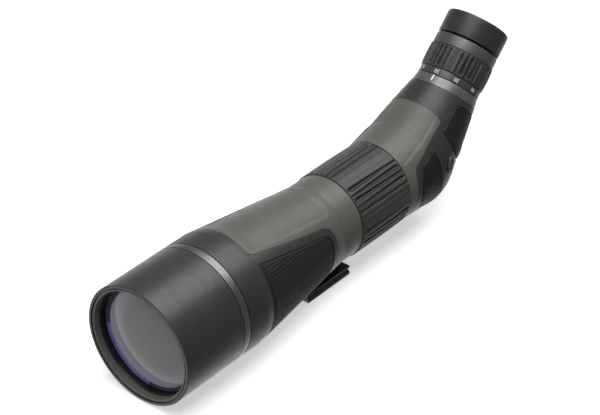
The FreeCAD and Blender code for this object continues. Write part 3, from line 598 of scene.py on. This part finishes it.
def cone_radius(station):
    run = (station - CONE[0]) / (CONE[2] - CONE[0])
    return CONE[1] + run * (CONE[3] - CONE[1])


def cone_surface(spots):
    """Cone skin: station by distance round the barrel at 40 mm from the axis."""
    station, theta = spots[:, 0], spots[:, 1] / ROUND
    radius = cone_radius(station)
    return np.stack([station, radius * np.cos(theta), radius * np.sin(theta)], 1)


def on_cone(corners):
    """Side-view corners (station, height, fillet) of the +X side, as outline points on the cone."""
    return [(s, math.asin(z / cone_radius(s)) * ROUND, fillet) for s, z, fillet in corners]


def mirrored(spots, turn=math.pi):
    """The same outline on the -X side, reached over the top, or underneath with a turn of -pi."""
    return [(u, turn * ROUND - v, *rest) for u, v, *rest in spots]


STEM = math.asin(13.0 / 37.0)
right_edge = on_cone([(170.0, 23.6, 5.0), (176.0, 20.5, 5.0), (179.5, 14.0, 4.0)])
front_corner = [(CONE[0], math.asin(39.8 / CONE[1]) * ROUND, 4.5)]
under = (-math.pi / 2 + STEM) * ROUND
over = math.pi * ROUND - under
PANEL_EDGE = np.array([(96.0, 61.0), (113.0, 57.5), (183.3, 47.2)])


def top_relief(spots):
    """Recessed top facet: its sides run back from the front and turn across it before the neck."""
    station = spots[:, 0]
    theta = np.degrees(spots[:, 1] / ROUND)
    theta = np.where(theta > 90, 180 - theta, theta)
    from_side = (theta - np.interp(station, PANEL_EDGE[:, 0], PANEL_EDGE[:, 1])) * 0.7
    from_rear = 183.0 - station
    corner = 5.0
    depth_in = np.minimum(from_side, from_rear)
    turning = (from_side < corner) & (from_rear < corner)
    depth_in[turning] = corner - np.hypot(corner - from_side, corner - from_rear)[turning]
    sink = 0.75 - 0.4 * smooth_step(station, 150.0, 183.0)
    return -sink * smooth_step(depth_in, -0.6, 0.6) * smooth_step(station, 93.0, 104.0)


olive_outline, _ = rounded(
    front_corner + right_edge + [(179.5, under, 0), (COVER_END, under, 0), (COVER_END, over, 0),
                                 (179.5, over, 0)]
    + mirrored(right_edge)[::-1] + mirrored(front_corner))
panel("top_cover_skin", "top_cover", "scope_body", cone_surface, olive_outline, grid=(1.1, 1.1),
      relief=top_relief, edge=0.14)

grip_corners = on_cone([(93.2, -31.0, 3.0), (93.2, 34.0, 1.6), (168.0, 18.8, 4.0),
                        (173.6, 14.5, 2.5), (174.0, -20.0, 4.0), (168.0, -24.3, 3.0)])
grip_outline, _ = rounded(grip_corners)
PITCH = 3.4


def grip_relief(spots):
    """Fine ribs along the barrel, and edges that fall away into the groove round the pad."""
    loop = np.asarray(grip_outline)
    flip = spots[:, 1] > math.pi / 2 * ROUND
    here = spots.copy()
    here[flip, 1] = math.pi * ROUND - here[flip, 1]
    from_edge = distance(here, resample(loop, 2.0))
    rear = smooth_step(here[:, 0], 166.0, 172.0)
    fall = 0.8 * (1 - smooth_step(from_edge, 0.0, 1.3 + 1.7 * rear))
    wave = np.abs(np.cos(math.pi * np.degrees(here[:, 1] / ROUND) / PITCH)) ** 0.8
    return 0.2 - fall - 0.36 * (1 - wave) * smooth_step(from_edge, 0.9, 2.6)


for side_name, flip in (("right", False), ("left", True)):
    loop = grip_outline if not flip else np.array(mirrored(grip_outline))
    panel(f"side_grip_{side_name}_pad", f"side_grip_{side_name}", "scope_body", cone_surface, loop,
          grid=(2.4, 0.26), relief=grip_relief, edge=0.2, drop=0.6)

beside_cover = grown(olive_outline, 0.12)[:28]
armour_right = ([(max(u, CONE[0]), v) for u, v in beside_cover]
                + [(179.38, under), (170.6, under)])
armour_outline = np.array(armour_right + mirrored(armour_right, -math.pi)[::-1])
grip_hole = grown(grip_outline, PAD_GAP)
panel("lower_armour_skin", "lower_armour", "scope_body", cone_surface, armour_outline,
      holes=[grip_hole, np.array(mirrored(grip_hole, -math.pi))], grid=(1.6, 1.4), edge=0.14)

lathe("neck_collar_shell", "neck_collar", "scope_body", [
    (190.5, 33.45, 0), (190.5, 34.95, 0.4), (211.4, 34.95, 0.3), (211.4, 33.45, 0)])


# ---------------------------------------------------------------- focus ring

ribbed_ring("focus_ring_rubber", "focus_grip", "focus_ring", main_axis,
            211.9, 270.6, 33.65, 36.1,
            [(65.7, 0.2, 1.0, 1.1), (57.8, 2.1, 2.5, 1.0), (49.8, 2.1, 1.0, 2.4),
             (42.3, 2.1, 2.45, 1.0), (34.1, 2.1, 1.0, 2.4), (26.0, 1.5, 1.5, 1.1),
             (18.3, 0.45, 0.9, 1.0)], segments=1320)


# ---------------------------------------------------------------- prism housing

def housing_rows():
    """Cross sections: centre (station, height), half height vector, half width."""
    rows = []

    def add(point, lean, wide, up, down):
        rise = np.array([-math.sin(math.radians(lean)), math.cos(math.radians(lean))])
        centre = np.array(point) + rise * (up - down) / 2
        rows.append((*centre, *(rise * (up + down) / 2), wide))

    for part in (0.0, 0.33, 0.67):
        add((271.2 + part * 25.4, 0.0), 0.0, 35.5 + 2.7 * part, 35.8 + 5.5 * part, 35.4)
    bend = [(0.0, 8.7, 85.0, 38.1), (11.25, 8.5, 88.2, 38.5), (22.5, 8.3, 87.6, 38.3),
            (33.75, 8.5, 82.4, 36.9), (45.0, 9.0, 80.2, 35.7)]
    turn = np.array([row[0] for row in bend]) / 45.0
    fits = [np.polyfit(turn, [row[k] for row in bend], 4) for k in (1, 2, 3)]
    for lean in np.linspace(0, 45, 13):
        top, bottom, wide = (np.polyval(fit, lean / 45.0) for fit in fits)
        down = np.array([math.sin(math.radians(lean)), -math.cos(math.radians(lean))])
        middle = np.array([296.6, 50.0]) + down * (top + bottom) / 2
        add(middle, lean, wide, (bottom - top) / 2, (bottom - top) / 2)
    bend_end = (50.0 - 21.0) * SLANT
    for part in (0.2, 0.4, 0.6, 0.8, 1.0):
        s = bend_end + part * (EYE_SEAT - bend_end)
        wide, drift = 39.7 - 0.198 * s, 8.2 - 0.131 * s
        add((ELBOW + s * SLANT, s * SLANT), 45.0, wide, wide + drift, wide - drift)
    return np.array(rows)


ROWS = housing_rows()
KNOTS = np.concatenate([[0], np.cumsum(np.linalg.norm(np.diff(ROWS[:, :2], axis=0), axis=1))])


def natural_spline(knots, values):
    """Second derivatives of the natural cubic spline through the values."""
    count = len(knots)
    gap = np.diff(knots)
    matrix = np.eye(count)
    right = np.zeros_like(values)
    for k in range(1, count - 1):
        matrix[k, k - 1:k + 2] = gap[k - 1], 2 * (gap[k - 1] + gap[k]), gap[k]
        ahead, behind = values[k + 1] - values[k], values[k] - values[k - 1]
        right[k] = 6 * (ahead / gap[k] - behind / gap[k - 1])
    return np.linalg.solve(matrix, right)


BENDS = natural_spline(KNOTS, ROWS)


def housing_section(v):
    """Section values at positions v along the housing's middle line."""
    k = np.clip(np.searchsorted(KNOTS, v) - 1, 0, len(KNOTS) - 2)
    gap = (KNOTS[k + 1] - KNOTS[k])[:, None]
    right = (v - KNOTS[k])[:, None] / gap
    left = 1 - right
    return (left * ROWS[k] + right * ROWS[k + 1]
            + ((left ** 3 - left) * BENDS[k] + (right ** 3 - right) * BENDS[k + 1]) * gap ** 2 / 6)


def housing_surface(spots):
    """Housing skin: position along the middle line by distance round it at 40 mm."""
    row = housing_section(spots[:, 0])
    theta = spots[:, 1] / ROUND
    rise = np.sin(theta)
    return np.stack([row[:, 0] + row[:, 2] * rise, row[:, 4] * np.cos(theta),
                     row[:, 1] + row[:, 3] * rise], 1)


V_END = KNOTS[-1]
TABLE_V = np.linspace(0, V_END, 1500)
TABLE = housing_section(TABLE_V)


def on_housing(corners):
    """Side-view corners (station, height, fillet) of the +X side, as outline points on the skin."""
    spots = []
    for station, height, fillet in corners:
        to_y, to_z = station - TABLE[:, 0], height - TABLE[:, 1]
        miss = TABLE[:, 2] * to_z - TABLE[:, 3] * to_y
        share = (TABLE[:, 2] * to_y + TABLE[:, 3] * to_z) / (TABLE[:, 2] ** 2 + TABLE[:, 3] ** 2)
        hits = np.nonzero((miss[:-1] * miss[1:] <= 0) & (np.abs(share[:-1]) <= 1.3))[0]
        k = hits[0]
        part = miss[k] / (miss[k] - miss[k + 1]) if miss[k] != miss[k + 1] else 0.0
        v = TABLE_V[k] + part * (TABLE_V[k + 1] - TABLE_V[k])
        q = np.clip(share[k] + part * (share[k + 1] - share[k]), -1, 1)
        spots.append((v, math.asin(q) * ROUND, fillet))
    return spots


def eye_side(corners):
    """Side-view corners given in the eyepiece's frame (station, height, fillet)."""
    return on_housing([(ELBOW + SLANT * (s - n), SLANT * (s + n), f) for s, n, f in corners])


OLIVE_SIDE = [(279.6, -7.0, 3), (279.8, 8.0, 3), (280.6, 16.5, 3), (283.0, 21.6, 2.5),
              (289.9, 25.2, 3), (295.1, 27.8, 2), (298.7, 29.4, 2), (302.3, 31.1, 2),
              (305.6, 32.9, 2), (308.9, 34.7, 2), (312.0, 36.5, 2), (315.3, 38.3, 2),
              (319.1, 40.3, 2), (322.8, 42.4, 0.8)]
BELOW = -math.pi / 2 * ROUND
ABOVE = math.pi * ROUND - BELOW


def olive_edge(shift):
    """Edge between the painted cover and the black armour, from underneath up to the eyepiece."""
    low_v = 8.3 + shift
    side = on_housing([(s + shift, z, f) for s, z, f in OLIVE_SIDE])
    arc = [(V_END - EYE_SEAT + s + shift, math.radians(angle) * ROUND, 6)
           for s, angle in ((35.9, 51.0), (37.6, 62.0), (38.5, 74.0), (38.6, 86.0))]
    return [(low_v, BELOW, 0)] + side + arc


edge_here = olive_edge(0.0)
cover_outline, _ = rounded([(0, BELOW, 0)] + edge_here + mirrored(edge_here)[::-1]
                           + [(0, ABOVE, 0)])
CREASE_SIDE = [(275.0, 25.6), (278.0, 26.6), (285.8, 29.1), (292.7, 31.4), (297.3, 32.8),
               (301.8, 34.4), (304.8, 35.8), (307.7, 37.3), (310.1, 38.5), (312.5, 39.9),
               (314.8, 41.4), (317.0, 42.9)]
CREASE = np.array(on_housing([(station, height, 0) for station, height in CREASE_SIDE]))


def cover_relief(spots):
    """Recessed facet on top of the bend, fading out towards both ends."""
    theta = np.minimum(spots[:, 1], math.pi * ROUND - spots[:, 1])
    limit = np.interp(spots[:, 0], CREASE[:, 0], CREASE[:, 1])
    fade = smooth_step(spots[:, 0], 3.3, 4.7) * (1 - smooth_step(spots[:, 0], CREASE[-1, 0] - 4,
                                                                 CREASE[-1, 0] + 10))
    return -0.5 * fade * smooth_step(theta - limit, -0.6, 0.6)


panel("housing_cover_skin", "housing_top_cover", "scope_body", housing_surface, cover_outline,
      grid=(1.0, 1.2), relief=cover_relief, edge=0.14)

LOWER_PAD = [(289.5, -29.0, 2), (286.2, -12.4, 3), (284.8, -3.0, 3), (285.0, 6.2, 3),
             (286.2, 12.5, 3), (288.4, 18.5, 2), (290.5, 20.6, 1.5), (301.0, 25.9, 1.2),
             (304.6, 25.8, 1.2), (306.8, 18.0, 3), (307.5, 8.0, 3), (308.2, -2.0, 3),
             (310.5, -10.0, 3), (313.0, -17.0, 3), (312.8, -29.0, 2)]
UPPER_PAD = [(27.4, 23.5, 1.5), (51.0, 16.8, 1.2), (52.6, 14.5, 1.2), (53.0, -17.0, 2.5),
             (17.0, -19.0, 2.5), (15.0, -4.0, 2.0), (19.0, 8.7, 2.5), (23.5, 17.8, 2.5)]
lower_outline, _ = rounded(on_housing(LOWER_PAD))
upper_outline, _ = rounded(eye_side(UPPER_PAD))


def pad_relief(outline, ribbed):
    """Relief of a housing pad: edges that fall away and ribs, deeper where ribbed."""
    def relief(spots):
        here = spots.copy()
        flip = here[:, 1] > math.pi / 2 * ROUND
        here[flip, 1] = math.pi * ROUND - here[flip, 1]
        from_edge = distance(here, resample(outline, 1.5))
        fall = 0.75 * (1 - smooth_step(from_edge, 0.0, 1.1))
        base = housing_surface(here)
        across = base[:, 0] * math.sin(math.radians(27)) + base[:, 2] * math.cos(math.radians(27))
        wave = np.abs(np.cos(math.pi * across / 2.3)) ** 0.8
        depth = (0.3 if ribbed else 0.1) * smooth_step(from_edge, 0.7, 2.2)
        return 0.2 - fall - depth * (1 - wave)
    return relief


PADS = (("lower", lower_outline, (0.5, 0.42)), ("upper", upper_outline, (0.6, 0.6)))
for level, outline, spacing in PADS:
    for side_name, flip in (("right", False), ("left", True)):
        loop = np.array(mirrored(outline)) if flip else outline
        panel(f"housing_pad_{level}_{side_name}", f"housing_grip_{level}_{side_name}", "scope_body",
              housing_surface, loop, grid=spacing, relief=pad_relief(outline, level == "lower"),
              edge=0.2, drop=0.6)

edge_here = olive_edge(0.1)
armour_outline, _ = rounded(edge_here + mirrored(edge_here)[::-1] + [(V_END - 0.1, ABOVE, 0),
                                                                    (V_END - 0.1, BELOW, 0)])
holes = []
for outline in (lower_outline, upper_outline):
    hole = grown(outline, PAD_GAP)
    holes += [hole, np.array(mirrored(hole))]
panel("housing_armour_skin", "housing_armour", "scope_body", housing_surface, armour_outline,
      holes=holes, grid=(1.2, 1.3), edge=0.14)


# ---------------------------------------------------------------- eyepiece
# The eyecup ends at 123.4 and not at the CAD's 123.7, which keeps its rounded rim in the CAD box.

RING_ROUND = 26.4
NUMBER_RADIUS = 26.35
FIGURE_RADIUS = 26.385
MARK_HALF = 0.62

lathe("index_collar_shell", "index_collar", "scope_body", [
    (EYE_SEAT, 21.6, 0), (EYE_SEAT, 27.95, 0.5), (66.35, 26.45, 0.3), (66.35, 21.6, 0)], eye_axis)
lathe("number_ring_shell", "zoom_number_ring", "zoom_ring", [
    (66.95, 21.7, 0), (66.95, NUMBER_RADIUS, 0.2), (72.75, NUMBER_RADIUS, 0.2),
    (72.75, 21.7, 0)], eye_axis)
ribbed_ring("zoom_knob_rubber", "zoom_grip", "zoom_ring", eye_axis,
            73.2, 92.8, 25.05, 27.4,
            [(69.5, 0.3, 0.8, 0.8), (60.3, 1.3, 0.8, 1.3), (51.0, 2.0, 1.6, 0.7),
             (41.8, 2.0, 0.7, 1.5), (32.5, 2.0, 1.6, 0.7), (22.6, 1.1, 0.8, 1.1),
             (14.2, 0.4, 0.9, 0.8)])
lathe("rear_ring_shell", "eyepiece_rear_ring", "scope_body", [
    (93.2, 21.6, 0), (93.2, 26.5, 0.5), (102.1, 26.5, 0.6), (102.1, 21.6, 0)], eye_axis,
      material=DARK_SATIN)
lathe("eyecup_sleeve_shell", "eyecup_sleeve", "eyecup_sleeve_body", [
    (102.85, 20.15, 0), (102.85, 21.88, 0.2), (120.65, 21.88, 0.3), (120.65, 20.15, 0.3)], eye_axis)
lathe("eyecup_shell", "eyecup", "eyecup_body", [
    (104.0, 22.0, 0), (104.0, 26.5, 0.5), (123.4, 26.5, 2.8), (123.4, 20.8, 1.4),
    (122.6, 18.9, 0.6), (121.25, 18.85, 0), (121.25, 22.0, 0)], eye_axis)
lathe("eye_lens_ring_shell", "eye_lens_ring", "scope_body", [
    (113.0, 15.4, 0.2), (115.5, 16.3, 0.2), (115.5, 17.45, 0.1), (113.0, 17.45, 0)], eye_axis,
      segments=128)


def ring_surface(radius):
    """Cylinder or cone of the eyepiece: station by distance round it."""
    def surface(spots):
        reach = radius(spots[:, 0])
        theta = spots[:, 1] / RING_ROUND
        return np.stack([spots[:, 0], reach * np.cos(theta), reach * np.sin(theta)], 1)
    return surface


mark, _ = rounded([(61.2, MARK_HALF, 0.2), (66.1, MARK_HALF, 0.2),
                   (66.1, -MARK_HALF, 0.2), (61.2, -MARK_HALF, 0.2)])
mark = mark + [0.0, math.pi / 2 * RING_ROUND]
panel("index_mark", "index_collar", "scope_body",
      ring_surface(lambda s: 28.0 - (s - EYE_SEAT) * 1.55 / 7.95 + 0.045), mark, grid=(0.8, 0.4),
      edge=0.06, drop=0.1, material=ENGRAVED, replaced=(), axis=eye_axis)


def number(text, degrees, size):
    """White figures wrapped round the number ring, upright for someone at the eyepiece."""
    curve = bpy.data.curves.new("figures", "FONT")
    curve.body = text
    curve.size = size
    curve.align_x = "CENTER"
    curve.align_y = "CENTER"
    curve.offset = 0.02
    curve.extrude = 0.04
    curve.resolution_u = 6
    source = bpy.data.objects.new("figures", curve)
    bpy.context.scene.collection.objects.link(source)
    bpy.context.view_layer.update()
    mesh = bpy.data.meshes.new_from_object(source)
    bpy.data.objects.remove(source)
    flat = np.array([v.co for v in mesh.vertices])
    theta = math.radians(degrees) + flat[:, 0] / NUMBER_RADIUS
    reach = FIGURE_RADIUS + flat[:, 2]
    spots = eye_axis(np.stack([69.8 - flat[:, 1], reach * np.cos(theta), reach * np.sin(theta)], 1))
    faces = [tuple(p.vertices) for p in mesh.polygons]
    bpy.data.meshes.remove(mesh)
    label = "times" if text == "x" else text
    add_piece(f"zoom_figure_{label}", spots, faces, WHITE_INK, "zoom_ring")


for place, text in enumerate(("20", "30", "40", "50", "60")):
    number(text, 89.0 - 38.6 * place, 4.4)
number("x", 124.5, 4.6)


# ---------------------------------------------------------------- foot, lugs and inner parts

def softened(name, node, body, width, material=None):
    """A machined or moulded part with its sharp edges rounded off."""
    work = bmesh.new()
    work.from_mesh(nodes[node].data)
    bmesh.ops.remove_doubles(work, verts=work.verts, dist=2e-6)
    bmesh.ops.dissolve_limit(work, angle_limit=math.radians(3), verts=work.verts, edges=work.edges)
    sharp = [e for e in work.edges
             if len(e.link_faces) == 2 and e.calc_face_angle(0) > math.radians(30.0)]
    made = bmesh.ops.bevel(work, geom=sharp, offset=width * MM, offset_type="OFFSET", segments=3,
                           profile=0.5, affect="EDGES", clamp_overlap=True)
    work.verts.index_update()
    rounded_off = {v.index for f in made["faces"] for v in f.verts}
    spots = [tuple(v.co) for v in work.verts]
    faces = [tuple(v.index for v in f.verts) for f in work.faces]
    work.free()
    wear_and_highlight = [1.0 if k in rounded_off else 0.0 for k in range(len(spots))]
    return add_piece(name, spots, faces, material or MATERIALS[slots[node]], body, (node,), wear_and_highlight)


softened("foot_body", "mounting_foot", "scope_body", 0.3)
softened("strap_eyelets", "strap_lugs", "scope_body", 0.35, material=LUG_GREY)
softened("foot_cap_screws", "foot_screws", "scope_body", 0.15)

# Parts that no piece replaces show as they are, in their own materials.
for node, piece in nodes.items():
    if not piece.hide_render:
        for slot in piece.material_slots:
            slot.material = MATERIALS[slots[node]]


# ---------------------------------------------------------------- studio

def softbox(name, place, aim, width, length, watts):
    """Rectangular lamp at a place, facing its aim, with its width along X."""
    light = bpy.data.lights.new(name, "AREA")
    light.shape = "RECTANGLE"
    light.size, light.size_y = width, length
    light.energy = watts
    lamp = bpy.data.objects.new(name, light)
    bpy.context.scene.collection.objects.link(lamp)
    toward = Vector(aim) - Vector(place)
    side = Vector((1, 0, 0)) - toward * (toward.x / toward.length_squared)
    side.normalize()
    back = -toward.normalized()
    up = back.cross(side)
    lamp.matrix_world = Matrix((
        (side.x, up.x, back.x, place[0]), (side.y, up.y, back.y, place[1]),
        (side.z, up.z, back.z, place[2]), (0, 0, 0, 1)))


softbox("key", (0.13, 0.15, 1.15), (0, 0.05, 0.06), 0.95, 2.4, 21.0)
softbox("front", (-0.25, -1.3, 0.9), (0, 0, 0.06), 0.7, 0.7, 1.0)

FLOOR_REACH = 8
FLOOR_HEIGHT = -0.0004
floor_mat = bpy.data.materials.new("studio_floor")
floor_mat.use_nodes = True
floor_shader = floor_mat.node_tree.nodes["Principled BSDF"]
floor_shader.inputs["Base Color"].default_value = (0.93, 0.93, 0.93, 1)
floor_shader.inputs["Roughness"].default_value = 0.9
floor_shader.inputs["Specular IOR Level"].default_value = 0.1
floor_shader.inputs["Emission Color"].default_value = (1, 1, 1, 1)
floor_shader.inputs["Emission Strength"].default_value = 0.5
floor_mesh = bpy.data.meshes.new("studio_floor")
floor_mesh.from_pydata([(x * FLOOR_REACH, y * FLOOR_REACH, FLOOR_HEIGHT)
                        for x, y in ((-1, -1), (1, -1), (1, 1), (-1, 1))], [], [(0, 1, 2, 3)])
floor_mesh.materials.append(floor_mat)
floor = bpy.data.objects.new("studio_floor", floor_mesh)
bpy.context.scene.collection.objects.link(floor)
floor.visible_diffuse = False
floor.visible_glossy = False
floor.visible_shadow = False

world = bpy.data.worlds.new("studio")
bpy.context.scene.world = world
world.use_nodes = True
sky = world.node_tree
facing = sky.nodes.new("ShaderNodeTexCoord")
sky.nodes["Background"].inputs["Color"].default_value = (1, 1, 1, 1)
glow = sky.nodes["Background"].inputs["Strength"]


def patch(direction, start, end, strength, below=None):
    """Soft patch of studio light, brightest towards a direction and added to what is there."""
    along = sky.nodes.new("ShaderNodeVectorMath")
    along.operation = "DOT_PRODUCT"
    along.inputs[1].default_value = Vector(direction).normalized()
    sky.links.new(facing.outputs["Generated"], along.inputs[0])
    fall = sky.nodes.new("ShaderNodeMapRange")
    fall.interpolation_type = "SMOOTHSTEP"
    fall.inputs["From Min"].default_value = start
    fall.inputs["From Max"].default_value = end
    fall.inputs["To Max"].default_value = strength
    sky.links.new(along.outputs["Value"], fall.inputs["Value"])
    total = sky.nodes.new("ShaderNodeMath")
    total.inputs[1].default_value = 0.0
    sky.links.new(fall.outputs["Result"], total.inputs[0])
    if below is not None:
        sky.links.new(below, total.inputs[1])
    return total.outputs[0]


light = patch((-0.5, 0.5, -0.7), 0.45, 1.0, 1.1)
light = patch((-0.85, 0.5, 0.0), 0.4, 0.95, 0.1, light)
light = patch((-0.53, -0.64, -0.56), 0.6, 0.95, 0.75, light)
light = patch((0, 0, 1), -1.0, -0.99, 0.2, light)
sky.links.new(light, glow)

camera_data = bpy.data.cameras.new("camera")
camera_data.lens = 121.22
camera_data.sensor_width = 36.0
camera = bpy.data.objects.new("camera", camera_data)
bpy.context.scene.collection.objects.link(camera)
camera.matrix_world = Matrix((
    (0.77057, -0.35480, 0.52948, 0.80289), (0.63736, 0.42895, -0.64014, -0.98328),
    (0.0, 0.83074, 0.55670, 0.91774), (0, 0, 0, 1)))
bpy.context.scene.camera = camera
bpy.context.scene.view_settings.view_transform = "Standard"
